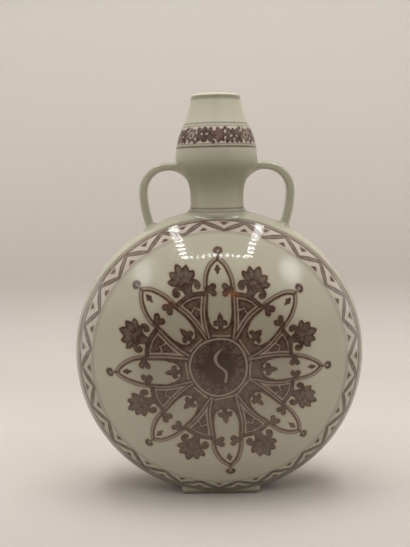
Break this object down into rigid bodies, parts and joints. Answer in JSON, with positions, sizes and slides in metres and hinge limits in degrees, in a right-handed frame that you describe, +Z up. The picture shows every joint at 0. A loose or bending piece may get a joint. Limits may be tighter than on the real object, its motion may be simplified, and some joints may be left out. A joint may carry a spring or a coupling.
{
  "type": "pilgrim flask",
  "caption": "Flat round porcelain pilgrim flask with a waisted neck, bulb mouth, strap handles and a low oblong foot, for holding and pouring liquid.",
  "frame": {"origin": "on the floor, under the body's centre", "axes": "+Z up along the neck, the painted front faces -Y, +X to the right as seen from the front"},
  "size_m": [0.22, 0.104, 0.3004],
  "materials": {
    "glazed_porcelain": "gloss grey-green glaze over red-brown underglaze painting",
    "luting_slip": "fired slip under the same glaze",
    "biscuit_porcelain": "glazed sides, bare ground edge"
  },
  "bodies": {
    "root": {"front_shell": "glazed_porcelain", "rear_shell": "glazed_porcelain", "neck": "glazed_porcelain", "mouth_bulb": "glazed_porcelain", "left_handle": "glazed_porcelain", "right_handle": "glazed_porcelain", "base_slab": "glazed_porcelain", "foot_ring": "biscuit_porcelain", "seam_slip": "luting_slip", "neck_slip": "luting_slip", "bulb_slip": "luting_slip", "left_handle_bulb_slip": "luting_slip", "left_handle_body_slip": "luting_slip", "right_handle_bulb_slip": "luting_slip", "right_handle_body_slip": "luting_slip", "base_slip": "luting_slip", "foot_slip": "luting_slip"}
  },
  "joints": []
}
